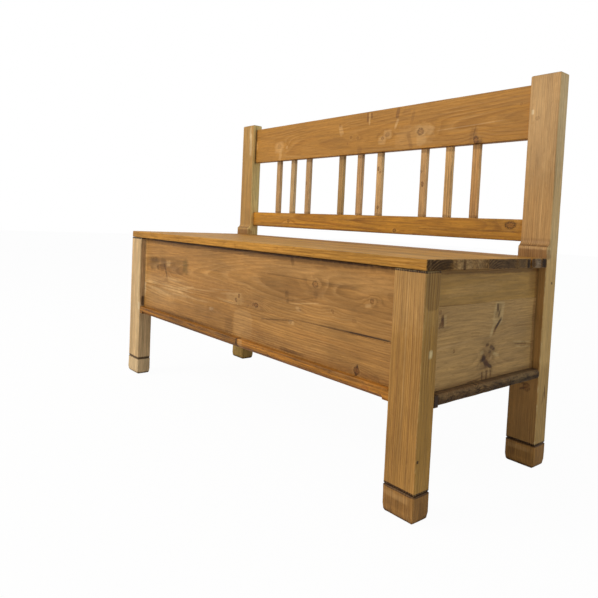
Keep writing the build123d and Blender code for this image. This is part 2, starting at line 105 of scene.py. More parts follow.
def newObject(name, data):
    thing = bpy.data.objects.new(name, data)
    bpy.context.scene.collection.objects.link(thing)
    return thing


def camel(nodeName):
    first, *rest = nodeName.split("_")
    return first + "".join(word.capitalize() for word in rest)


# Camera and light

cameraValues = {
    "placeMm": (1198.9, -989.5, 511.2),
    "right": (0.64549, 0.76235, 0.04644),
    "up": (-0.06885, -0.00247, 0.99762),
    "back": (0.76066, -0.64715, 0.05089),
    "sensorMm": 36,
    "lensMm": 34.466,
    "shift": (-0.0192, -0.0779),
}

cameraData = bpy.data.cameras.new("camera")
cameraData.sensor_width = cameraValues["sensorMm"]
cameraData.lens = cameraValues["lensMm"]
cameraData.shift_x, cameraData.shift_y = cameraValues["shift"]
camera = newObject("camera", cameraData)
turn = Matrix([cameraValues["right"], cameraValues["up"], cameraValues["back"]]).transposed()
camera.matrix_world = Matrix.Translation(Vector(cameraValues["placeMm"]) * mm) @ turn.to_4x4()
bpy.context.scene.camera = camera
bpy.context.scene.view_settings.view_transform = "Standard"

lampValues = {
    "keyLamp": {"placeM": (-1.3, -3, 2.6), "sizeM": 2.4, "power": 108, "colour": "#FFF6EA"},
    "fillLamp": {"placeM": (3.4, 0.6, 1.6), "sizeM": 3, "power": 9, "colour": "#E9F1FF"},
}
lightValues = {
    "lampAimM": (0, 0, 0.45),
    "skyColour": "#F4F7FB",
    "skyStrength": 0.45,
    "floorColour": "#EDEDEC",
    "floorHalfM": 14,
    "floorWhite": 0.97,  # share of the floor's look that is plain white, so shadows stay faint
}


def softLamp(name, v):
    lamp = bpy.data.lights.new(name, "AREA")
    lamp.shape = "DISK"
    lamp.size = v["sizeM"]
    lamp.energy = v["power"]
    lamp.color = linearColour(v["colour"])[:3]
    lampObject = newObject(name, lamp)
    lampObject.location = v["placeM"]
    toAim = Vector(lightValues["lampAimM"]) - Vector(v["placeM"])
    lampObject.rotation_euler = toAim.to_track_quat("-Z", "Y").to_euler()


for name, values in lampValues.items():
    softLamp(name, values)

sky = bpy.data.worlds.new("softSky")
add = emptyTree(sky)
rays = add("LightPath", {}).outputs
seen = add("Math", {0: rays["Is Camera Ray"], 1: rays["Is Glossy Ray"]}, operation="MAXIMUM")
seen = add("Math", {0: seen, 1: rays["Is Transmission Ray"]}, operation="MAXIMUM")
lit = add("Background", {"Color": lightValues["skyColour"], "Strength": lightValues["skyStrength"]})
white = add("Background", {"Color": "#FFFFFF", "Strength": 1})
add("OutputWorld", {"Surface": add("MixShader", {0: seen, 1: lit, 2: white})})
bpy.context.scene.world = sky

floorMesh = bpy.data.meshes.new("floor")
reach = lightValues["floorHalfM"]
corners = [(-reach, -reach, 0), (reach, -reach, 0), (reach, reach, 0), (-reach, reach, 0)]
floorMesh.from_pydata(corners, [], [(0, 1, 2, 3)])
floor = newObject("floor", floorMesh)
floorPaint = bpy.data.materials.new("paleStudioFloor")  # matt and even, nearly lost in the white behind it
add = emptyTree(floorPaint)
rays = add("LightPath", {}).outputs
matt = add("BsdfDiffuse", {"Color": lightValues["floorColour"]})
glow = add("Emission", {"Color": "#FFFFFF", "Strength": 1})
share = add("Math", {0: rays["Is Camera Ray"], 1: lightValues["floorWhite"]}, operation="MULTIPLY")
add("OutputMaterial", {"Surface": add("MixShader", {0: share, 1: matt, 2: glow})})
floorMesh.materials.append(floorPaint)
print("camera, lamps and floor set")


# Fields that every pine material shares; all of them work in millimetres

knotValues = {
    "core": (1.1, 0.6),  # in radii of the knot, from the start of its dark heart to full dark
    "rim": (0.95, 0.42),  # place and half width of the dark ring, then of the pale one round it
    "halo": (1.75, 0.6),
    "ringCrisp": 0.06,
    "slim": 0.45,  # the year rings swell further along the grain than across
    "swellFade": 0.16,
}


def buildKnotField():  # a branch that passes through the board, and the rings that swell round it
    v = knotValues
    tree, add, take, give = newGroup(
        "knotField", {"Vector": "Place Centre Radii", "Float": "Turn Pull Dark Shift Core Rim Halo"},
        {"Float": "Shift Core Rim Halo"})
    offset = add("VectorMath", {0: take["Place"], 1: take["Centre"]}, operation="SUBTRACT")
    turned = add("VectorRotate", {"Vector": offset, "Angle": take["Turn"]}, rotation_type="Z_AXIS")
    flat = add("VectorMath", {0: turned, 1: (1, 1, 0)}, operation="MULTIPLY")
    ratio = add("VectorMath", {0: flat, 1: take["Radii"]}, operation="DIVIDE")
    reachOut = add("VectorMath", {0: ratio}, operation="LENGTH")
    slim = add("VectorMath", {0: ratio, 1: (v["slim"], 1, 0)}, operation="MULTIPLY")
    squared = add("VectorMath", {0: slim, 1: slim}, operation="DOT_PRODUCT")
    faded = add("Math", {0: squared, 1: -v["swellFade"]}, operation="MULTIPLY")
    swell = add("Math", {0: faded}, operation="EXPONENT")
    shift = add("Math", {0: swell, 1: take["Pull"], 2: take["Shift"]}, operation="MULTIPLY_ADD")
    core = add("MapRange", {"Value": reachOut, fromEnds: v["core"], toEnds: (0, take["Dark"])}, **eased)
    tree.links.new(shift.outputs[0], give["Shift"])
    core = add("Math", {0: core, 1: take["Core"]}, operation="MAXIMUM")
    tree.links.new(core.outputs[0], give["Core"])
    for name, (radius, width) in (("Rim", v["rim"]), ("Halo", v["halo"])):
        aside = add("Math", {0: reachOut, 1: radius}, operation="SUBTRACT")
        aside = add("Math", {0: aside}, operation="ABSOLUTE")
        band = add("MapRange", {"Value": aside, fromEnds: (width, v["ringCrisp"]),
                                toEnds: (0, take["Dark"])}, **eased)
        band = add("Math", {0: band, 1: take[name]}, operation="MAXIMUM")
        tree.links.new(band.outputs[0], give[name])
    return tree


def buildStainField():  # a blot, worn patch, seam or crack with a ragged edge
    tree, add, take, give = newGroup(
        "stainField", {"Vector": "Place Centre Radii", "Float": "Turn Soft Amount Ragged",
                       "Color": "Colour Tint"}, {"Color": "Colour"})
    offset = add("VectorMath", {0: take["Place"], 1: take["Centre"]}, operation="SUBTRACT")
    turned = add("VectorRotate", {"Vector": offset, "Angle": take["Turn"]}, rotation_type="Z_AXIS")
    ratio = add("VectorMath", {0: turned, 1: take["Radii"]}, operation="DIVIDE")
    squared = add("VectorMath", {0: ratio, 1: ratio}, operation="MULTIPLY")
    spread = add("VectorMath", {0: squared}, operation="LENGTH")  # 1 all along the mark's edge
    ragged = add("Math", {0: take["Ragged"], 1: take["Soft"]}, operation="MULTIPLY")
    spread = add("Math", {0: spread, 1: ragged}, operation="ADD")
    outer = add("Math", {0: 1, 1: take["Soft"]}, operation="ADD")
    inner = add("Math", {0: 1, 1: take["Soft"]}, operation="SUBTRACT")
    mask = add("MapRange", {"Value": spread, fromEnds: (outer, inner),
                            toEnds: (0, take["Amount"])}, **eased)
    mixed = add("Mix", {"Factor": mask, "A": take["Colour"], "B": take["Tint"]}, data_type="RGBA")
    tree.links.new(pickSocket(mixed.outputs, 0), give["Colour"])
    return tree


figureValues = {  # a scale is noise cells per mm along the grain, across and through
    "driftScale": (0.0021, 0.009, 0.009),
    "patchScale": (0.004, 0.02, 0.02),
    "patchRange": (0.38, 0.62),
    "patchFaintest": 0.1,
    "glossScale": (0.005, 0.016, 0.016),
    "glossRange": (0.47, 0.66),
    "fleckScale": (0.04, 0.2, 0.2),
    "fleckRange": (0.58, 0.68),
    "fibreScale": (0.02, 0.28, 0.28),  # drawn coarser than real fibres
    "toneScale": (0.006, 0.013, 0.013),
    "streakScale": (0.004, 0.11, 0.11),
    "yearScale": 0.35,  # noise cells per year, and how many years wide and narrow rings drift
    "yearDrift": 1.6,
    "lateRise": (0.35, 0.86),  # shares of one year's growth
    "lateFall": (1, 0.9),
    "paleFall": (0.45, 0.1),
}


def buildPineFigure():  # year rings as bent tubes round a pith line, and the fibres along it
    v = figureValues
    tree, add, take, give = newGroup(
        "pineFigure", {"Vector": "Place Pith Lean", "Float": "Shift Ring Wander Seed"},
        {"Float": "Late Pale Fibre Tone Streak Fleck"})

    def grainNoise(scale, detail, roughness=0.5):  # noise drawn out along the grain
        spread = add("VectorMath", {0: take["Place"], 1: scale}, operation="MULTIPLY")
        return add("TexNoise", {"Vector": spread, "W": take["Seed"], "Scale": 1, "Detail": detail,
                                "Roughness": roughness}, noise_dimensions="4D")

    along = add("SeparateXYZ", {0: take["Place"]})
    drift = grainNoise(v["driftScale"], 2)
    drift = add("VectorMath", {0: drift.outputs["Color"], 1: (0.5, 0.5, 0.5)}, operation="SUBTRACT")
    drift = add("VectorMath", {0: drift, "Scale": take["Wander"]}, operation="SCALE")
    lean = add("VectorMath", {0: take["Lean"], "Scale": along.outputs["X"]}, operation="SCALE")
    pith = add("VectorMath", {0: take["Pith"], 1: lean}, operation="ADD")
    rel = add("VectorMath", {0: take["Place"], 1: pith}, operation="SUBTRACT")
    rel = add("VectorMath", {0: rel, 1: drift}, operation="ADD")
    rel = add("VectorMath", {0: rel, 1: (0, 1, 1)}, operation="MULTIPLY")
    radius = add("VectorMath", {0: rel}, operation="LENGTH")
    radius = add("Math", {0: radius, 1: take["Shift"]}, operation="ADD")
    years = add("Math", {0: radius, 1: take["Ring"]}, operation="DIVIDE")
    uneven = add("TexNoise", {"W": years, "Scale": v["yearScale"], "Detail": 1}, noise_dimensions="1D")
    years = add("Math", {0: uneven, 1: v["yearDrift"], 2: years}, operation="MULTIPLY_ADD")
    phase = add("Math", {0: years}, operation="FRACT")
    rise = add("MapRange", {"Value": phase, fromEnds: v["lateRise"]}, **eased)
    fall = add("MapRange", {"Value": phase, fromEnds: v["lateFall"]})
    late = add("Math", {0: rise, 1: fall}, operation="MULTIPLY")
    patchy = grainNoise(v["patchScale"], 2)  # some stretches of a ring are faint
    patchy = add("MapRange", {"Value": patchy, fromEnds: v["patchRange"], "To Min": v["patchFaintest"]})
    late = add("Math", {0: late, 1: patchy}, operation="MULTIPLY")
    pale = add("MapRange", {"Value": phase, fromEnds: v["paleFall"]}, **eased)
    glossy = grainNoise(v["glossScale"], 2)  # raised lines catch the light in places
    glossy = add("MapRange", {"Value": glossy, fromEnds: v["glossRange"]})
    pale = add("Math", {0: pale, 1: glossy}, operation="MULTIPLY")
    fleck = grainNoise(v["fleckScale"], 2, 0.6)
    fleck = add("MapRange", {"Value": fleck, fromEnds: v["fleckRange"]}, **eased)
    fields = {"Late": late, "Pale": pale, "Fibre": grainNoise(v["fibreScale"], 4, 0.75),
              "Tone": grainNoise(v["toneScale"], 4, 0.55),
              "Streak": grainNoise(v["streakScale"], 4, 0.6), "Fleck": fleck}
    for name, node in fields.items():
        tree.links.new(pickSocket(node.outputs, 0), give[name])
    return tree


def buildArrisField():  # distance in mm from the nearest edge of the board's box
    tree, add, take, give = newGroup("arrisField", {"Vector": "Place Low High"}, {"Float": "Distance"})
    fromLow = add("VectorMath", {0: take["Place"], 1: take["Low"]}, operation="SUBTRACT")
    fromHigh = add("VectorMath", {0: take["High"], 1: take["Place"]}, operation="SUBTRACT")
    nearest = add("VectorMath", {0: fromLow, 1: fromHigh}, operation="MINIMUM")
    side = add("SeparateXYZ", {0: nearest})
    x, y, z = side.outputs
    lower = add("Math", {0: x, 1: y}, operation="MINIMUM")
    upper = add("Math", {0: x, 1: y}, operation="MAXIMUM")
    upper = add("Math", {0: upper, 1: z}, operation="MINIMUM")
    middle = add("Math", {0: lower, 1: upper}, operation="MAXIMUM")
    tree.links.new(middle.outputs[0], give["Distance"])
    return tree


knotField = buildKnotField()
stainField = buildStainField()
pineFigure = buildPineFigure()
arrisField = buildArrisField()


# Old pine under worn wax: pale earlywood between thin brown latewood lines, knots and years of handling

pineValues = {
    "grain": "x",  # the way the tree grew, and the way across the face
    "across": "z",
    "early": "#AE7F49",
    "late": "#7F5426",
    "knot": "#7A4E25",
    "knotRim": "#4A2E16",
    "pale": "#C79C62",
    "contrast": 0.55,  # how far latewood lines go to their colour
    "shine": 0.3,  # the same for pale lines
    "fibre": 0.3,  # how much fibres, soft patches and streaks darken and lighten
    "tone": 0.12,
    "streak": 0.14,
    "fleck": 0.22,
    "ringMm": 5,  # real rings are half as wide, too fine to draw
    "pithMm": (20, -60),  # across and through, from the board's middle
    "lean": (0, 0.02),  # how far the pith runs out, mm in a mm of length
    "wanderMm": 20,
    "seed": 1,
    "knots": (),  # (along, across, radius along, radius across, pull, dark, turn)
    "stains": (),  # (along, across, half length, half height, amount, colour, soft, turn)
    "sideStains": (),  # the same on the faces beside, with through in place of across
    "arris": "#6B4825",
    "arrisAmount": 0.45,
    "arrisMm": 2.2,
    "endGrain": "#6A4A28",
    "endAmount": 0.8,
    "pit": "#2A1908",  # dark checks and pits in the end grain
    "pitAmount": 0,
    "roughness": 0.54,
    "gloss": 0.22,  # old wax that has nearly worn off
    "bumpMm": 0.35,
    "faceTints": (),  # (axis, sign, tint, gain): painted light and shade, a face made lighter or darker by how light falls on it
    "frayScale": 0.09,  # noise cells per mm that fray the marks' edges, and by how much
    "frayMm": (9, 7, 7),
    "frayStain": 2.6,
    "noiseRange": (0.3, 0.7),
    "endFacing": (0.6, 0.85),  # how squarely a face looks along the grain, from none to all end grain
    "tintFacing": (0.5, 0.85),
    "gritScale": 0.42,  # specks that break up the knots
    "gritRange": (0.38, 0.58),
    "gritLeast": 0.25,
    "haloShare": 0.15,
    "pitScale": (0, 0.05, 0.16),  # noise cells per mm along, across and through
    "pitRange": (0.46, 0.62),
    "fibreRelief": 0.6,  # against 1 for latewood, which stands proud where the softer wood wore
    "bumpStrength": 0.6,
    "roughnessSpread": (-0.07, 0.09),
    "ior": 1.5,  # wax and dry wood
}
throughMm = 1e4  # a mark goes right through its board


def boardPlaces(add, spot, order, v):  # mm along, across and through, the same frayed, and the fraying
    metres = add("SeparateXYZ", {0: spot}).outputs
    ordered = add("CombineXYZ", {i: metres["xyz".index(a)] for i, a in enumerate(order)})
    place = add("VectorMath", {0: ordered, "Scale": 1 / mm}, operation="SCALE")
    blur = add("TexNoise", {"Vector": place, "Scale": v["frayScale"], "Detail": 3}).outputs
    ragged = add("Math", {0: blur["Fac"], 1: 0.5}, operation="SUBTRACT")
    ragged = add("Math", {0: ragged, 1: v["frayStain"]}, operation="MULTIPLY")
    aside = add("VectorMath", {0: blur["Color"], 1: (0.5, 0.5, 0.5)}, operation="SUBTRACT")
    rough = add("VectorMath", {0: aside, 1: v["frayMm"], 2: place}, operation="MULTIPLY_ADD")
    return place, rough, ragged


# After the places and fields, what these two take is what a mark in pineValues lists

def addKnot(add, place, fields, along, across, long, tall, pull, dark, turn=0):
    knot = add("Group", {
        "Place": place, "Centre": (along, across, 0), "Radii": (long, tall, 1),
        "Turn": -math.radians(turn), "Pull": pull, "Dark": dark, **fields}, node_tree=knotField)
    return dict(zip(fields, knot.outputs))


def addStain(add, place, ragged, ground, along, across, long, tall, amount, colour, soft=0.8, turn=0):
    return add("Group", {
        "Place": place, "Ragged": ragged, "Colour": ground, "Centre": (along, across, 0),
        "Radii": (long, tall, throughMm), "Amount": amount, "Tint": colour, "Soft": soft,
        "Turn": -math.radians(turn)}, node_tree=stainField)


def addFigure(add, colour, figure, v):  # latewood, pale lines, fibres, soft patches, streaks and flecks
    browned = add("VectorMath", {0: linearColour(v["late"])[:3], 1: linearColour(v["early"])[:3]},
                  operation="DIVIDE")
    browned = add("VectorMath", {0: colour, 1: browned}, operation="MULTIPLY")
    lateShare = add("Math", {0: figure["Late"], 1: v["contrast"]}, operation="MULTIPLY")
    colour = add("Mix", {"Factor": lateShare, "A": colour, "B": browned}, data_type="RGBA")
    lit = add("Math", {0: figure["Pale"], 1: v["shine"]}, operation="MULTIPLY")
    colour = add("Mix", {"Factor": lit, "A": colour, "B": v["pale"]}, data_type="RGBA")
    for field, depth in (("Fibre", v["fibre"]), ("Tone", v["tone"]), ("Streak", v["streak"])):
        gain = add("MapRange", {"Value": figure[field], fromEnds: v["noiseRange"],
                                toEnds: (1 - depth, 1 + depth)}, clamp=False)
        colour = add("VectorMath", {0: colour, "Scale": gain}, operation="SCALE")
    flecks = add("Math", {0: figure["Fleck"], 1: v["fleck"]}, operation="MULTIPLY")
    return add("Mix", {"Factor": flecks, "A": colour, "B": browned}, data_type="RGBA")


def addKnotColours(add, colour, place, fields, v):
    grit = add("TexNoise", {"Vector": place, "Scale": v["gritScale"], "Detail": 2})
    for field, share, tint in (("Halo", v["haloShare"], v["pale"]), ("Core", 1, v["knot"]),
                               ("Rim", 1, v["knotRim"])):
        broken = add("MapRange", {"Value": grit, fromEnds: v["gritRange"],
                                  toEnds: (v["gritLeast"] * share, share)})
        broken = add("Math", {0: broken, 1: fields[field]}, operation="MULTIPLY")
        colour = add("Mix", {"Factor": broken, "A": colour, "B": tint}, data_type="RGBA")
    return colour


def addPits(add, colour, place, endward, v):
    drawnOut = add("VectorMath", {0: place, 1: v["pitScale"]}, operation="MULTIPLY")
    pits = add("TexNoise", {"Vector": drawnOut, "Scale": 1, "Detail": 4, "Roughness": 0.7})
    pits = add("MapRange", {"Value": pits, fromEnds: v["pitRange"], "To Max": v["pitAmount"]})
    pits = add("Math", {0: pits, 1: endward}, operation="MULTIPLY")
    return add("Mix", {"Factor": pits, "A": colour, "B": v["pit"]}, data_type="RGBA")


def pineMaterial(name, node, values):  # one board's own pine
    v = dict(pineValues, **values)
    material = bpy.data.materials.new(name)
    add = emptyTree(material)
    order = v["grain"] + v["across"] + next(a for a in "xyz" if a not in v["grain"] + v["across"])
    low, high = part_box(node)
    lowMm = [low["xyz".index(a)] / mm for a in order]
    highMm = [high["xyz".index(a)] / mm for a in order]
    middle = [(a + b) / 2 for a, b in zip(lowMm, highMm)]
    spot = add("TexCoord", {}).outputs
    place, rough, ragged = boardPlaces(add, spot["Object"], order, v)
    fields = {"Shift": 0, "Core": 0, "Rim": 0, "Halo": 0}
    for mark in v["knots"]:
        fields = addKnot(add, rough, fields, *mark)
    pith = (0, middle[1] + v["pithMm"][0], middle[2] + v["pithMm"][1])
    figure = add("Group", {
        "Place": place, "Shift": fields["Shift"], "Pith": pith, "Lean": (0, *v["lean"]),
        "Ring": v["ringMm"], "Wander": v["wanderMm"], "Seed": v["seed"]}, node_tree=pineFigure).outputs

    facing = add("SeparateXYZ", {0: spot["Normal"]}).outputs
    endward = add("Math", {0: facing["xyz".index(v["grain"])]}, operation="ABSOLUTE")
    endward = add("MapRange", {"Value": endward, fromEnds: v["endFacing"], "To Max": v["endAmount"]})
    colour = add("Mix", {"Factor": endward, "A": v["early"], "B": v["endGrain"]}, data_type="RGBA")
    for mark in v["stains"]:
        colour = addStain(add, place, ragged, colour, *mark)
    if v["sideStains"]:  # across and through change places
        split = add("SeparateXYZ", {0: place}).outputs
        beside = add("CombineXYZ", {i: split[a] for i, a in enumerate("XZY")})
        for mark in v["sideStains"]:
            colour = addStain(add, beside, ragged, colour, *mark)
    colour = addFigure(add, colour, figure, v)
    if v["knots"]:
        colour = addKnotColours(add, colour, place, fields, v)
    if v["pitAmount"]:
        colour = addPits(add, colour, place, endward, v)
    arris = add("Group", {"Place": rough, "Low": lowMm, "High": highMm}, node_tree=arrisField)
    worn = add("MapRange", {"Value": arris, fromEnds: (v["arrisMm"], 0), "To Max": v["arrisAmount"]},
               **eased)
    colour = add("Mix", {"Factor": worn, "A": colour, "B": v["arris"]}, data_type="RGBA")
    # painted light and shade: faces that look one way are lit or shaded in their colour
    for axis, sign, tint, gain in v["faceTints"]:
        toward = add("MapRange", {"Value": facing["xyz".index(axis)],
                                  fromEnds: [edge * sign for edge in v["tintFacing"]]})
        paintedLight = add("VectorMath", {0: colour, 1: [c * gain for c in linearColour(tint)[:3]]},
                      operation="MULTIPLY")
        colour = add("Mix", {"Factor": toward, "A": colour, "B": paintedLight}, data_type="RGBA")

    relief = add("Math", {0: figure["Fibre"], 1: v["fibreRelief"], 2: figure["Late"]},
                 operation="MULTIPLY_ADD")
    bump = add("Bump", {"Height": relief, "Distance": v["bumpMm"] * mm, "Strength": v["bumpStrength"]})
    matt = add("MapRange", {"Value": figure["Streak"], fromEnds: v["noiseRange"],
                            toEnds: [v["roughness"] + part for part in v["roughnessSpread"]]})
    surface = add("BsdfPrincipled", {"Base Color": colour, "Roughness": matt, "Normal": bump,
                                     "IOR": v["ior"], "Specular IOR Level": v["gloss"]})
    add("OutputMaterial", {"Surface": surface})
    return material


# Boards: the plain joinery with its arrises worn round and its faces planed by hand

wearValues = {
    "cellMm": 14,  # spacing of the cuts that let a face undulate
    "edgeCellsMm": (1.2, 3, 6),
    "arrisMm": 0.5,  # how far an arris is worn back at most
    "reachMm": 2.6,
    "unevenLengthMm": 37,
    "planingMm": 0.2,  # hand planing leaves hollows about this deep
    "planingLengthMm": 90,
    "soleMm": 0,  # radius to which a foot is worn where it meets the floor
    "seed": 3,
    "mergeMm": 0.01,  # points this near each other are one, and cuts keep as near to old points
    "cutMergeMm": 0.02,
    "flatAngle": 1,  # degrees between faces that are one flat face, and that keep a sharp edge
    "sharpAngle": 38,
}


def cutPlaces(low, high, cell, edges):  # where one side of a board is cut across
    span = high - low
    places = {low + e for e in edges if e < span / 2} | {high - e for e in edges if e < span / 2}
    count = int(span / cell)
    places |= {low + span * i / count for i in range(1, count)} if count > 1 else set()
    return sorted(places)


def cutUp(mesh, low, high, v):  # enough points for wear and hollows
    for axis in range(3):
        normal = [0, 0, 0]
        normal[axis] = 1
        for cut in cutPlaces(low[axis] / mm, high[axis] / mm, v["cellMm"], v["edgeCellsMm"]):
            point = [0, 0, 0]
            point[axis] = cut * mm
            bmesh.ops.bisect_plane(mesh, geom=mesh.verts[:] + mesh.edges[:] + mesh.faces[:],
                                   plane_co=point, plane_no=normal, dist=v["cutMergeMm"] * mm)


def roundSole(vertex, low, high, radius):
    rise = max((vertex.co.z - low[2]) / mm, 0)
    if rise < radius:
        inset = radius - math.sqrt(radius ** 2 - (radius - rise) ** 2)
        for axis in range(2):
            middle, span = (low[axis] + high[axis]) / 2, high[axis] - low[axis]
            vertex.co[axis] = middle + (vertex.co[axis] - middle) * (1 - 2 * inset * mm / span)


def wornBoard(node, material, values):
    v = dict(wearValues, **values)
    low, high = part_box(node)
    mesh = bmesh.new()
    mesh.from_mesh(frame["nodes"][node].data)
    bmesh.ops.remove_doubles(mesh, verts=mesh.verts, dist=v["mergeMm"] * mm)
    bmesh.ops.dissolve_limit(mesh, angle_limit=math.radians(v["flatAngle"]), verts=mesh.verts,
                             edges=mesh.edges)
    cutUp(mesh, low, high, v)
    mesh.normal_update()
    offset = Vector((sum(map(ord, node)) % 11, len(node), v["seed"]))  # so that no two boards wear alike
    moves = []
    for vertex in mesh.verts:
        place = vertex.co / mm
        gaps = sorted(min(place[i] - low[i] / mm, high[i] / mm - place[i]) for i in range(3))
        uneven = 0.5 + 0.5 * noise.noise(place / v["unevenLengthMm"] + offset)
        wear = v["arrisMm"] * math.exp(-gaps[1] / v["reachMm"]) * uneven
        planing = v["planingMm"] * (0.5 + 0.5 * noise.noise(place / v["planingLengthMm"] + offset))
        moves.append((vertex, vertex.normal * (wear + planing) * mm))
    for vertex, move in moves:
        vertex.co -= move
        roundSole(vertex, low, high, v["soleMm"])
    data = bpy.data.meshes.new(camel(node))
    mesh.to_mesh(data)
    mesh.free()
    data.materials.append(material)
    for polygon in data.polygons:
        polygon.use_smooth = True
    data.set_sharp_from_angle(angle=math.radians(v["sharpAngle"]))
    board = newObject(camel(node), data)
    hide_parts(node)
    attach(board, bodyOf[node])


bodyOf = {n: b for b, members in frame["record"]["behaviour"]["bodies"].items() for n in members}
slotOf = {s["node"]: s["material_slot"] for s in frame["record"]["subparts"]}
dressed = set()


def dressWood(node, *layers):  # later values take the place of earlier ones
    values = {}
    for layer in layers:
        values.update(layer)
    wornBoard(node, pineMaterial(camel(node) + "Pine", node, values), values.get("wear", {}))
    dressed.add(node)


# Colours of marks that come back

soot = "#20140A"
# dark dirt in joints and cracks; also painted shade along the lid's lower edge
dirtAndShade = "#361F0A"
black = "#3C2008"
dark = "#4E2F10"
brown = "#6E4722"
scar = "#CDB27C"
pale = "#D3AC74"
honey = "#D9AE6C"
glint = "#D8B47E"
cream = "#E3CDA2"


# Back: top rail, lower rail and the nine spindles

topRailValues = {
    "early": "#AA7934", "late": "#7E4F1C", "seed": 3.1, "pithMm": (-20, -75), "lean": (0.02, 0.03),
    "contrast": 0.36, "fibre": 0.22, "streak": 0.12, "tone": 0.1, "arris": "#5F3F1D", "arrisAmount": 0.55,
    "knots": (
        (221, 765, 10, 8, 14, 0.75, 8),
        (105, 767, 6.5, 5.5, 9, 0.45),
        (86, 757, 5.5, 5, 6, 0.5),
        (-41, 771, 4.5, 4, 6, 0.55),
        (-12, 766, 5, 4, 5, 0.4),
        (-54, 754, 3, 3, 3, 0.5),
        (392, 729, 6, 9, 7, 1, 12),
        (-392, 769, 9, 8, 12, 0.3),
        (-89, 811, 4, 4, 5, 0.35),
        (505, 800, 3, 3, 3, 0.35),
    ),
    "stains": (
        (201, 757, 60, 28, 0.18, pale, 0.7, 4),
        (234, 768, 30, 11, 0.32, pale, 0.5, -8),
        (224, 744, 15, 16, 0.28, pale, 0.5),
        (186, 742, 6, 24, 0.3, brown, 0.8, 18),
        (105, 768, 15, 12, 0.35, pale, 0.6),
        (84, 752, 13, 11, 0.35, pale, 0.6),
        (-392, 765, 24, 18, 0.3, pale, 0.6),
        (-385, 738, 7, 22, 0.3, pale, 0.6, -6),
        (-350, 763, 6, 5, 0.3, pale, 0.6),
        (-85, 795, 8, 15, 0.35, pale, 0.6, 20),
        (25, 822, 3.5, 14, 0.6, brown, 0.5),
        (33, 818, 3, 17, 0.5, pale, 0.5),
        (41, 826, 4, 8, 0.55, brown, 0.5),
        (139, 822, 6, 14, 0.6, brown, 0.5, -10),
        (136, 794, 4, 14, 0.45, pale, 0.5, -22),
        (171, 820, 16, 7, 0.25, brown, 0.7, 5),
        (192, 806, 5, 18, 0.28, brown, 0.7, -14),
        (384, 742, 10, 16, 0.38, brown, 0.8, -8),
        (398, 724, 10, 5, 0.6, dark, 0.8, 20),
        (386, 750, 2, 12, 0.45, dark, 0.8, -14),
        (-2, 728, 10, 13, 0.3, brown, 0.7),
        (362, 765, 92, 1.5, 0.4, pale, 0.6, 2),
        (548, 776, 9, 4, 0.35, brown, 0.7),
        (-530, 800, 7, 30, 0.25, brown),
        (-528, 778, 6, 14, 0.5, "#D9A863", 0.7),
        (540, 775, 6, 60, 0.25, brown),
    ),
}
dressWood("top_rail", topRailValues)

lowerRailValues = {
    "early": "#B9832D", "late": "#7C4A1B", "seed": 8.6, "ringMm": 7, "pithMm": (12, -38),
    "streak": 0.22, "tone": 0.13, "fleck": 0.35, "arris": "#5F3F1D", "arrisAmount": 0.6,
    "knotRim": "#38200A",
    "knots": (
        (496, 528, 12, 8, 12, 0.85),
        (148, 502, 5, 4, 6, 0.8),
        (-325, 514, 6, 5, 7, 0.6),
    ),
    "stains": (
        (470, 524, 55, 12, 0.25, brown, 0.7),
        (380, 512, 150, 2.2, 0.4, dark, 0.6, 0.5),
        (80, 525, 160, 2, 0.35, brown, 0.6, -0.4),
        (-260, 506, 140, 2.2, 0.35, brown, 0.6, 0.5),
        (0, 495, 560, 3, 0.45, dark, 0.7),
    ),
}
dressWood("lower_back_rail", lowerRailValues)

spindleValues = {
    "grain": "z", "across": "x", "early": "#AF8249", "late": "#7C5227", "ringMm": 6,
    "pithMm": (30, -30), "streak": 0.18, "tone": 0.2, "arris": "#5C3F20", "arrisAmount": 0.22,
    # painted light: the faces that look to +x are brightened
    "arrisMm": 1.6, "faceTints": (("x", 1, "#E4ECF8", 2.1),),
    # darker where each spindle meets the lower and the top rail
    "stains": ((541, 0, 7, 900, 0.35, dark, 0.6), (716, 0, 8, 900, 0.4, dirtAndShade, 0.6)),
    "wear": {"arrisMm": 0.7, "planingMm": 0.5, "planingLengthMm": 60},
}
spindleTones = ("#B39163", "#C0A170", "#B49265", "#A48350", "#C09867", "#C09A66", "#BC9460", "#CCA267",
                "#BA8D54")
spindleKnots = {
    3: ((640, -246, 5, 4, 4, 0.5),),
    6: ((674, 72, 4.5, 3.5, 4, 0.9), (664, 79, 3, 3, 2, 0.6), (565, 77, 5, 4, 4, 0.8)),
    7: ((628, 232, 6, 4, 5, 0.9), (660, 227, 3, 3, 2, 0.5)),
}
for number, tone in enumerate(spindleTones, 1):
    own = {"seed": 20 + number, "early": tone, "knots": spindleKnots.get(number, ())}
    dressWood("spindle_%d" % number, spindleValues, own)
print("back dressed")


# Posts and legs: straight upright grain, paler on the worn arrises

def footJoint(across, half=3, amount=0.8):  # dirt in the open joint over a foot block
    return (54, across, half, 60, amount, dirtAndShade, 0.5)


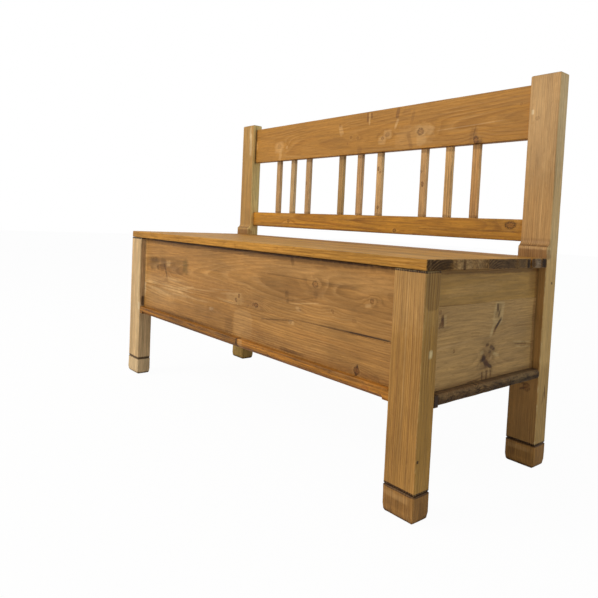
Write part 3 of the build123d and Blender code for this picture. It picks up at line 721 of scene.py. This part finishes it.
postValues = {
    "grain": "z", "across": "x", "early": "#B9905A", "late": "#825A2C", "ringMm": 4.5, "pithMm": (60, -35),
    "wanderMm": 22, "contrast": 0.38, "streak": 0.22, "tone": 0.12, "arris": "#D8B982", "arrisAmount": 0.35,
    "arrisMm": 2, "wear": {"arrisMm": 0.6, "planingMm": 0.5, "planingLengthMm": 120},
}
rightPostValues = {
    # painted light: the post's faces that look to +x are brightened
    "seed": 31, "fibre": 0.2, "streak": 0.14, "faceTints": (("x", 1, "#DDEFFF", 1.9),),
    "knots": ((762, 552, 4, 5, 4, 0.25), (176, 573, 8, 7, 9, 0.6)),
    "stains": (
        (800, 552, 60, 14, 0.22, pale),
        (760, 566, 120, 44, 0.12, "#D8C09A", 0.9),
        (640, 575, 160, 2, 0.3, pale, 0.7, 0.4),
        (560, 556, 120, 1.6, 0.28, brown, 0.7, -0.3),
        # darker below the seat and the box: painted shade, partly a real stain
        (244, 568, 222, 60, 0.38, "#96640E", 0.3),
        (70, 568, 160, 60, 0.3, "#6A4308", 0.15),
        footJoint(568),
        (776, 540, 5, 3, 0.7, cream, 0.5),
        (173, 566, 2.4, 9, 0.7, dark, 0.8, -24),
        (184, 560, 2.4, 12, 0.5, dark, 0.8, 10),
    ),
    "sideStains": (
        # painted shade where the seat meets the post, on the front part of its sides
        (468, 180, 10, 14, 0.55, brown, 0.5),
        (492, 180, 9, 14, 0.3, brown, 0.6),
        (406, 207, 2.6, 2.6, 0.85, dirtAndShade, 0.4),
        (168, 208, 14, 2.2, 0.75, dark, 0.7, -10),
        (156, 202, 14, 1.8, 0.6, dark, 0.7, 10),
        footJoint(200),
    ),
}
leftPostValues = {
    # painted light: the post's faces that look to +x are brightened
    "seed": 37, "early": "#AC8549", "fibre": 0.22, "faceTints": (("x", 1, "#C0DDFF", 4),),
    "stains": (
        (786, -548, 40, 7, 0.45, cream, 0.7),
        (830, -553, 22, 5, 0.4, cream, 0.7, 4),
        (640, -590, 150, 4, 0.25, brown, 0.7, 0.5),
        # darker below the seat: painted shade, partly a real stain
        (190, -568, 250, 60, 0.72, "#784C12", 0.5),
        footJoint(-568),
    ),
    # the second mark is painted shade where the seat meets the post
    "sideStains": ((779, 200, 61, 3, 0.8, dirtAndShade, 0.5), (468, 180, 10, 14, 0.5, brown, 0.5)),
}
dressWood("back_post_right", postValues, rightPostValues)
dressWood("back_post_left", postValues, leftPostValues)

rightLegValues = {
    "early": "#A07539", "late": "#754C20", "seed": 41, "arrisAmount": 0.22, "streak": 0.2, "fibre": 0.24,
    "stains": (
        (400, 566, 60, 50, 0.16, pale),
        (240, 548, 190, 1.8, 0.35, brown, 0.7, 0.3),
        (250, 579, 180, 1.8, 0.32, brown, 0.7, -0.3),
        (300, 563, 160, 1.8, 0.15, pale, 0.9),
        # painted shadow of the lid along the leg's top
        (439, 566, 3, 60, 1, "#2A1606", 0.2),
        footJoint(566, 3.5, 0.85),
    ),
    "sideStains": (
        (297, -200, 7, 5, 0.65, cream),
        (113, -219, 2.8, 2.6, 0.95, dirtAndShade, 0.5),
        (408, -202, 36, 18.5, 0.55, "#6E4A1C", 0.1),
        footJoint(-205, 3.5, 0.85),
    ),
    # painted light: the leg's faces that look to +x are brightened
    "faceTints": (("x", 1, "#EAF0E4", 1.26),),
}
leftLegValues = {
    "early": "#C3A475", "late": "#A38056", "seed": 43, "contrast": 0.45, "streak": 0.22, "pale": "#E0CDA6",
    "stains": (
        (260, -590, 170, 5, 0.3, "#B98F6B", 0.7, 0.4),
        (250, -566, 180, 4, 0.28, "#B98F6B", 0.7, -0.5),
        (240, -547, 150, 4, 0.3, "#DCC397", 0.7, 0.3),
        (340, -533, 110, 2.5, 0.6, "#7E6238", 0.5, 0.4),
        (224, -535, 12, 6, 0.5, "#E5D3AC", 0.5),
        # painted shadow of the lid along the leg's top
        (439, -566, 3, 60, 1, "#2A1606", 0.2),
        footJoint(-566, 3.5),
    ),
    "sideStains": ((240, -213, 16, 6.5, 0.85, dirtAndShade, 0.4), (330, -212, 90, 5, 0.35, brown, 0.7)),
    # painted light: the leg's faces that look to +x are brightened
    "faceTints": (("x", 1, "#F6F8FF", 1.18),),
}
dressWood("front_leg_right", postValues, rightLegValues)
dressWood("front_leg_left", postValues, leftLegValues)

footValues = {
    "grain": "z", "across": "x", "early": "#966C36", "late": "#6A4622", "pithMm": (40, -30),
    "contrast": 0.4, "arris": "#B48D58", "arrisAmount": 0.25, "endGrain": "#4A3119",
    "stains": (
        (53, 0, 3.5, 900, 0.8, dirtAndShade, 0.5),
        # darker along the lowest few mm, where the foot meets the floor
        (1, 0, 7, 900, 0.7, dirtAndShade, 0.7),
        (28, 566, 8, 26, 0.25, dark),
        (40, 560, 5, 30, 0.2, pale),
    ),
    "wear": {"arrisMm": 3, "reachMm": 6, "planingMm": 0.4, "planingLengthMm": 40, "soleMm": 12},
}
dressWood("front_foot_right", footValues, {"seed": 51})
dressWood("front_foot_left", footValues, {"seed": 53, "early": "#D0B68C", "late": "#A0855C"})
dressWood("back_foot_right", footValues, {"seed": 57, "early": "#A0743A"})
dressWood("back_foot_left", footValues, {"seed": 59, "early": "#A38342"})
print("posts, legs and feet dressed")


# Seat: two lid boards and the fixed strip behind them, smooth and warm from use

seatValues = {
    "grain": "x", "across": "y", "early": "#B98A42", "late": "#815122", "pithMm": (-30, -70),
    "contrast": 0.42, "tone": 0.12, "streak": 0.26, "fibre": 0.36, "fleck": 0.35, "roughness": 0.55,
    "gloss": 0.08, "arris": "#C79B62", "arrisAmount": 0.3, "endGrain": "#5A3E1E", "pitAmount": 0.55,
    # painted light: the faces that look to the front are lightened
    "faceTints": (("y", -1, "#E6DECE", 1.14),),
    # painted shadow along the lid's lower edge
    "sideStains": ((0, 440.4, 640, 1.5, 0.5, dirtAndShade, 0.6),),
}
lidFrontValues = {
    "seed": 61,
    "stains": (
        (604, -193, 5.5, 44, 0.86, "#3A2711", 0.3),
        (604, -99, 5.5, 49, 0.8, "#AC8A5A", 0.4),
        (604, -116, 5.5, 4, 0.8, "#4A3018"),
        (604, -144, 5.5, 6, 0.5, "#7A5830"),
        (604, -84, 5.5, 9, 0.45, "#86602F"),
        (-60, -150, 380, 9, 0.3, brown, 0.8, 0.6),
        (260, -108, 300, 7, 0.32, brown, 0.8, -0.6),
        (-300, -96, 240, 6, 0.26, brown, 0.8, 0.8),
        (120, -176, 320, 7, 0.3, honey, 0.8, -0.5),
        (-240, -126, 260, 6, 0.26, honey, 0.8, 0.5),
        (420, -150, 160, 6, 0.3, honey, 0.8, 0.8),
        (0, -214, 590, 3, 0.25, pale, 0.6),
    ),
}
lidRearValues = {
    "seed": 67,
    "stains": (
        (604, 6, 5.5, 56, 0.8, "#4D3C2A", 0.3),
        (604, 82, 5.5, 18, 0.6, "#6E5B40", 0.6),
        (604, 106, 5.5, 6, 0.9, "#1E1208", 0.6),
        (-100, -50, 420, 8, 0.3, honey, 0.8, -0.4),
        (200, -10, 330, 9, 0.32, brown, 0.8, 0.6),
        (-280, 24, 260, 8, 0.28, brown, 0.8, 0.4),
        (120, 58, 380, 8, 0.28, honey, 0.8, -0.5),
        (340, 88, 200, 7, 0.3, brown, 0.8, 0.5),
        (0, 112, 620, 4, 0.5, "#6D5538", 0.6),
    ),
}
hingeBoardValues = {
    "seed": 71, "early": "#A37636",
    "stains": (
        (604, 122, 5.5, 9, 0.7, "#4A3420", 0.5),
        (604, 144, 5.5, 12, 0.8, "#9C8A70", 0.6),
        (604, 168, 5.5, 8, 0.9, "#1E1208", 0.5),
        (0, 121, 620, 4, 0.5, "#5E482E", 0.6),
    ),
}
dressWood("lid_board_front", seatValues, lidFrontValues)
dressWood("lid_board_rear", seatValues, lidRearValues)
dressWood("hinge_board", seatValues, hingeBoardValues)
print("seat dressed")


# Front panel: two boards with stains, resin eyes and a seam that has opened at the right

def shadeBesideLegs(middle):  # painted shade in the corners beside the two legs
    return (528, middle, 8, 200, 0.3, brown, 0.7), (-536, middle, 6, 200, 0.35, brown, 0.7)


panelValues = {
    "early": "#A3763D", "late": "#755022", "pithMm": (0, -80), "arrisAmount": 0, "contrast": 0.45,
    "ringMm": 4.5, "wanderMm": 26, "streak": 0.15, "fibre": 0.26, "tone": 0.2,
    "wear": {"arrisMm": 0.05, "planingMm": 0.05},
}
upperPanelValues = {
    "seed": 73, "lean": (0.03, 0.04),
    "knots": (
        (5, 313, 4.5, 5, 10, 0.9, 35),
        (17, 324, 4.5, 4.5, 9, 0.9, 35),
        (91, 311, 7.5, 5, 14, 1),
        (80, 310, 3.5, 4, 3, 0.8),
        (302, 384, 8, 7, 11, 0.65),
        (466, 370.5, 4.5, 4, 8, 0.7, 20),
        (359, 336, 4.5, 4, 5, 0.45),
        (256, 325, 4, 3, 4, 0.5),
        (421, 326, 5, 3, 4, 0.35),
        (-378, 336, 4, 6, 7, 0.35),
    ),
    "stains": (
        (-378, 369, 132, 23, 0.36, "#6A4A20", 0.14, -1),
        (-380, 352, 125, 14, 0.28, brown, 0.9),
        (-458, 365, 30, 18, 0.72, "#573B16"),
        (-400, 368, 18, 17, 0.4, dark),
        (-262, 372, 15, 20, 0.48, "#5E4A1E"),
        (-320, 360, 22, 14, 0.25, dark, 0.9),
        (-383, 349, 22, 4, 0.62, dark, 0.6, -58),
        (-368, 371, 12, 9, 0.4, pale, 0.9),
        (-430, 322, 60, 14, 0.22, brown, 0.9),
        (-400, 312, 150, 20, 0.16, glint, 0.9, 1),
        (-330, 326, 34, 3.4, 0.34, glint, 0.9, -3),
        (-262, 311, 46, 3.8, 0.34, glint, 0.9, 7),
        (-250, 303, 40, 2.8, 0.3, glint, 0.9, -4),
        (-345, 305, 50, 3.2, 0.36, glint, 0.9, -3),
        (-480, 306, 40, 5, 0.3, glint, 0.9, 2),
        (-150, 318, 60, 2, 0.3, pale, 0.8, 4),
        (-60, 330, 60, 1.8, 0.28, pale, 0.8, 4),
        (60, 297, 90, 1.6, 0.35, pale, 0.8, -2),
        (-60, 322, 100, 22, 0.2, brown, 0.9, 3),
        (200, 366, 110, 26, 0.24, "#7B5526", 0.35, -0.5),
        (260, 391, 160, 1.6, 0.35, dark, 0.7),
        (370, 388, 60, 3, 0.35, dark),
        (330, 358, 150, 22, 0.14, brown, 0.8, -1),
        (208, 352, 6, 7, 0.38, dark, 0.9),
        (211, 338, 4, 5, 0.38, dark, 0.9),
        (262, 348, 54, 1.3, 0.3, dark, 0.9, 12),
        (272, 340, 46, 1.6, 0.34, pale, 0.9, 8),
        (305, 366, 6, 11, 0.28, brown, 0.9, -20),
        (318, 367, 18, 5, 0.25, brown, 0.9, 30),
        (456, 361, 7, 3.5, 0.4, pale, 0.8, 12),
        (222, 427, 5, 12, 0.45, dark, 0.8, 18),
        (320, 421, 22, 3, 0.35, brown, 0.7),
        (-2, 313, 36, 15, 0.36, "#C9A066", 0.7, 4),
        (-30, 302, 54, 2.6, 0.22, glint, 0.9, -5),
        (-22, 325, 44, 2.6, 0.2, glint, 0.9, 6),
        (90, 318, 34, 14, 0.25, brown, 0.9),
        (250, 325, 9, 5, 0.35, pale),
        (388, 302.5, 130, 1.4, 0.6, dirtAndShade, 0.4, 1),
        (462, 303.6, 56, 1.8, 0.85, dirtAndShade, 0.4, 0.8),
        # painted shadow under the lid along the panel's top
        (0, 432, 560, 6, 0.45, dark),
        (0, 437, 560, 2.6, 0.85, "#3A1E08", 0.6),
        (-180, 300, 200, 50, 0.14, "#7A4E1C", 0.9),
        *shadeBesideLegs(330),
        (-523, 330, 6, 120, 0.35, pale),
        (350, 405, 190, 14, 0.1, pale, 0.8, -1),
    ),
}
lowerPanelValues = {
    "seed": 73, "lean": (0.03, 0.04), "pithMm": (70, -80),
    "knots": (
        (434, 232, 6, 7, 9, 0.95),
        (-107, 274, 6, 4, 7, 0.25),
        (224, 293, 5, 3.5, 5, 0.45),
    ),
    "stains": (
        (-112, 274, 10, 4, 0.28, cream, 0.9, 8),
        (-400, 286, 150, 14, 0.14, glint, 0.9),
        (-330, 297, 74, 3.2, 0.38, glint, 0.9, -1),
        (-430, 288, 60, 3.8, 0.3, glint, 0.9, -2),
        (-290, 287, 56, 3.4, 0.3, glint, 0.9, 1),
        (-395, 279, 40, 3, 0.24, glint, 0.9),
        (-180, 288, 50, 2, 0.32, pale, 0.9),
        (-430, 262, 110, 22, 0.16, pale, 0.9),
        (-180, 262, 220, 40, 0.14, "#7A4E1C", 0.9),
        (-70, 258, 66, 38, 0.3, "#7A5426", 0.3),
        (-25, 244, 18, 20, 0.26, dark, 0.6),
        (38, 258, 40, 34, 0.16, pale, 0.2),
        (434, 232, 3, 12, 0.9, dirtAndShade, 0.4, -10),
        (176, 290, 60, 1.8, 0.55, dark, 0.7, 7),
        (228, 292, 9, 4, 0.35, pale),
        (300, 240, 200, 7, 0.28, brown, 0.8, -2),
        (330, 228, 200, 5, 0.4, brown),
        (-340, 226, 140, 4, 0.45, dark, 0.7),
        (-120, 226, 110, 4, 0.4, dark, 0.7),
        (230, 228, 34, 4, 0.5, dark),
        (90, 245, 50, 20, 0.2, brown),
        (380, 270, 130, 12, 0.14, "#B97A35", 0.8, -1),
        *shadeBesideLegs(260),
        (-523, 300, 6, 40, 0.4, cream),
    ),
}
dressWood("front_board_upper", panelValues, upperPanelValues)
dressWood("front_board_lower", panelValues, lowerPanelValues)

sillValues = {
    "early": "#92601F", "late": "#553510", "ringMm": 4, "pithMm": (10, -30), "streak": 0.34,
    "fleck": 0.6, "fibre": 0.4, "arris": "#8A5E2B", "arrisAmount": 0.3,
    # painted shade: the faces that look down are darkened
    "faceTints": (("z", -1, "#C9B491", 1),),
    "stains": (
        (-380, 217, 150, 3.5, 0.5, dark, 0.7),
        (-80, 218, 110, 3, 0.45, dark, 0.7),
        (300, 219, 190, 2.6, 0.45, dark, 0.7),
        (120, 206, 90, 3, 0.35, dark, 0.7),
        (-250, 206, 120, 3, 0.3, dark, 0.7),
        (32, 211, 3.5, 30, 0.85, dirtAndShade, 0.5),
        (48, 211, 8, 30, 0.25, pale, 0.7),
        (470, 210, 10, 5, 0.4, "#7C3F1B", 0.6),
        (592, 211, 24, 40, 0.92, "#2A1C10", 0.3),
        (-592, 211, 24, 40, 0.92, "#2A1C10", 0.3),
    ),
}
dressWood("sill_left", sillValues, {"seed": 79})
dressWood("sill_right", sillValues, {"seed": 81, "early": "#A66D25"})
print("front dressed")


# Ends: olive brown boards with a cluster of dark knots, a resin scar and rough nosed boards below

sideValues = {
    "grain": "y", "across": "z", "early": "#B18C55", "late": "#74552A", "ringMm": 4, "wanderMm": 26,
    "pithMm": (-25, -60), "arrisAmount": 0, "contrast": 0.25, "streak": 0.11, "fibre": 0.25,
    "wear": {"arrisMm": 0.05, "planingMm": 0.05},
}
sideUpperValues = {
    "seed": 83, "early": "#A88244",
    "stains": (
        (75, 374.5, 95, 1.2, 0.35, pale, 0.7),
        (-130, 374.5, 60, 1.2, 0.3, brown, 0.7),
        # painted shade under the lid along the top edge
        (0, 436, 220, 6, 0.5, dark, 0.6),
        (-60, 402, 90, 10, 0.14, pale, 0.8, 2),
        (160, 418, 16, 30, 0.4, brown),
        (174, 405, 6, 60, 0.45, brown, 0.7),
    ),
}
sideLowerValues = {
    "seed": 89,
    "knots": (
        (-149, 343, 5, 7, 7, 0.5),
        (-157, 364, 3.5, 4.5, 4, 0.5),
        (-110, 290, 3.5, 3, 5, 0.6),
        (2, 258, 8, 16, 7, 0.3, -20),
        (33, 342, 9, 24, 6, 0, -8),
        (135, 278, 10, 5, 5, 0.3),
    ),
    "stains": (
        (33, 351, 17, 23, 0.5, "#C9AC76", 0.35, -12),
        (32, 354, 9, 15, 0.6, "#8E6F42", 0.7, -12),
        (29, 361, 3, 8, 0.75, black, 0.9, 8),
        (35, 350, 2.4, 7, 0.6, black, 0.9, -20),
        (31, 327, 15, 3, 0.9, black, 0.9, 46),
        (22, 316, 8, 4, 0.5, brown, 0.9, 60),
        (14, 318, 4, 13, 0.5, scar, 0.9, -24),
        (-149, 347, 4, 11, 0.85, black, 0.9, 8),
        (-156, 340, 3, 6, 0.6, black, 0.9, -20),
        (-141, 348, 4, 10, 0.35, scar, 0.9),
        (0, 262, 24, 34, 0.4, dark, 0.8, -8),
        (-6, 259, 13, 6, 0.95, black, 0.9, -50),
        (7, 249, 14, 3.6, 0.9, black, 0.9, -30),
        (-14, 262, 8, 3, 0.6, black, 0.9, 10),
        (12, 262, 7, 3, 0.5, "#C9A46C", 0.9, 30),
        (17, 282, 10, 4, 0.85, black, 0.8, -30),
        (9, 276, 5, 3, 0.6, black),
        (0, 290, 7, 3, 0.75, dark, 0.7),
        (-14, 230, 2.4, 9, 0.75, dark, 0.7),
        (-6, 233, 2, 9, 0.45, "#C9A46C", 0.7, 4),
        (2, 231, 2.6, 9, 0.65, "#4A2C12", 0.7, -4),
        (9, 234, 2, 9, 0.45, "#C9A46C", 0.7),
        (16, 230, 2.4, 8, 0.55, dark, 0.7, 4),
        (30, 268, 11, 3.5, 0.45, scar, 0.9, -20),
        (-18, 276, 6, 4, 0.35, scar, 0.9, 20),
        (-149, 346, 16, 22, 0.16, brown, 0.9),
        (130, 284, 32, 1.6, 0.45, scar, 0.8, -6),
        (132, 279, 34, 1.3, 0.5, dark, 0.7, -6),
        (136, 273, 30, 1.4, 0.35, scar, 0.8, -6),
        (-45, 224, 16, 1.2, 0.75, dark, 0.6),
        (0, 225, 220, 3.5, 0.3, brown),
        (-120, 300, 60, 2, 0.25, pale, 0.8, 3),
        (110, 320, 60, 2, 0.25, brown, 0.8, -3),
        (90, 250, 70, 2, 0.25, brown, 0.8, 2),
        # painted shade at the ends beside the leg and the post
        (-188, 300, 5, 90, 0.55, dark, 0.7),
        (172, 300, 7, 90, 0.45, brown, 0.7),
    ),
}
plainUpperValues = {
    "seed": 103, "early": "#A88244",
    "knots": ((-62, 408, 8, 6.5, 10, 0.5), (118, 392, 3.5, 3, 4, 0.6)),
    "stains": (
        # painted shade under the lid along the top edge
        (0, 436, 220, 6, 0.5, dark, 0.6),
        (-57, 401, 22, 2.5, 0.35, pale, 0.8, 12),
        (60, 400, 90, 9, 0.14, pale, 0.8, -2),
    ),
}
plainLowerValues = {
    "seed": 107,
    "knots": (
        (88, 306, 9, 7.5, 12, 0.55),
        (-34, 262, 4, 4, 5, 0.7),
        (-128, 338, 5.5, 4.5, 6, 0.4),
    ),
    "stains": (
        (0, 225, 220, 3.5, 0.3, brown),
        (98, 297, 26, 2, 0.4, pale, 0.8, -10),
        (-90, 300, 70, 2, 0.25, brown, 0.8, 2),
        # painted shade at the end beside the leg
        (-188, 300, 5, 90, 0.55, dark, 0.7),
    ),
}
dressWood("side_right_upper", sideValues, sideUpperValues)
dressWood("side_right_lower", sideValues, sideLowerValues)
dressWood("side_left_upper", sideValues, plainUpperValues)
dressWood("side_left_lower", sideValues, plainLowerValues)

bottomValues = {
    "grain": "x", "across": "y", "early": "#7D6040", "late": "#5B4126", "endGrain": "#6B4F2A",
    "pitAmount": 0.95, "endAmount": 0.9, "roughness": 0.62, "gloss": 0.15, "arris": "#6E5537",
    "ringMm": 3.5, "contrast": 0.35,
    "stains": (
        (600, -178, 24, 7, 0.85, soot, 0.5),
        (600, -110, 16, 60, 0.25, "#7E6040"),
        (600, -47, 16, 4, 0.6, soot),
        (600, 20, 16, 40, 0.25, "#35261A"),
        (600, 110, 16, 44, 0.35, "#7E6F4E"),
        (600, 180, 16, 12, 0.5, "#35261A"),
    ),
    "sideStains": (
        # painted highlight along the rounded top of the nose
        (600, 217.5, 30, 3, 0.45, "#8A6E46"),
        (600, 222.5, 30, 1.6, 0.5, soot, 0.9),
        (600, 207, 30, 5, 0.6, soot, 0.9),
    ),
    "wear": {"arrisMm": 1.2, "reachMm": 4, "planingMm": 1, "planingLengthMm": 30},
}
dressWood("bottom_board_front", bottomValues, {"seed": 97})
dressWood("bottom_board_rear", bottomValues, {"seed": 101})
print("ends dressed")


# Inside: the same pine, neither waxed nor handled

rawValues = {"early": "#B7976A", "late": "#8A683C", "roughness": 0.62, "gloss": 0.15, "arrisAmount": 0.2,
             "contrast": 0.4, "fleck": 0.15}
for node in sorted(n for n in frame["nodes"] if slotOf[n] != "hinge_iron" and n not in dressed):
    low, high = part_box(node)
    size = high - low
    grain, across = sorted("xyz", key=lambda a: -size["xyz".index(a)])[:2]  # the two longest sides
    dressWood(node, rawValues, {"grain": grain, "across": across, "seed": 110 + len(node)})
print("boards dressed")


# Forged iron: nearly black with patches of brown rust

ironValues = {
    "colour": "#3A332D", "rust": "#5E3B22", "roughness": 0.62,
    "metallic": 0.6,  # scale and rust hide part of the metal
    "patchesPerM": 140, "patchRange": (0.45, 0.65), "bumpMm": 0.2, "bumpStrength": 0.5,
}


def forgedIron(v):
    material = bpy.data.materials.new("forgedIron")
    add = emptyTree(material)
    spot = add("TexCoord", {}).outputs["Object"]
    patches = add("TexNoise", {"Vector": spot, "Scale": v["patchesPerM"], "Detail": 4})
    share = add("MapRange", {"Value": patches, fromEnds: v["patchRange"]})
    colour = add("Mix", {"Factor": share, "A": v["colour"], "B": v["rust"]}, data_type="RGBA")
    bump = add("Bump", {"Height": patches, "Distance": v["bumpMm"] * mm, "Strength": v["bumpStrength"]})
    surface = add("BsdfPrincipled", {"Base Color": colour, "Metallic": v["metallic"],
                                     "Roughness": v["roughness"], "Normal": bump})
    add("OutputMaterial", {"Surface": surface})
    return material


iron = forgedIron(ironValues)
for node, piece in frame["nodes"].items():
    if slotOf[node] == "hinge_iron":
        piece.data.materials.clear()
        piece.data.materials.append(iron)
print("hinges and screws dressed")
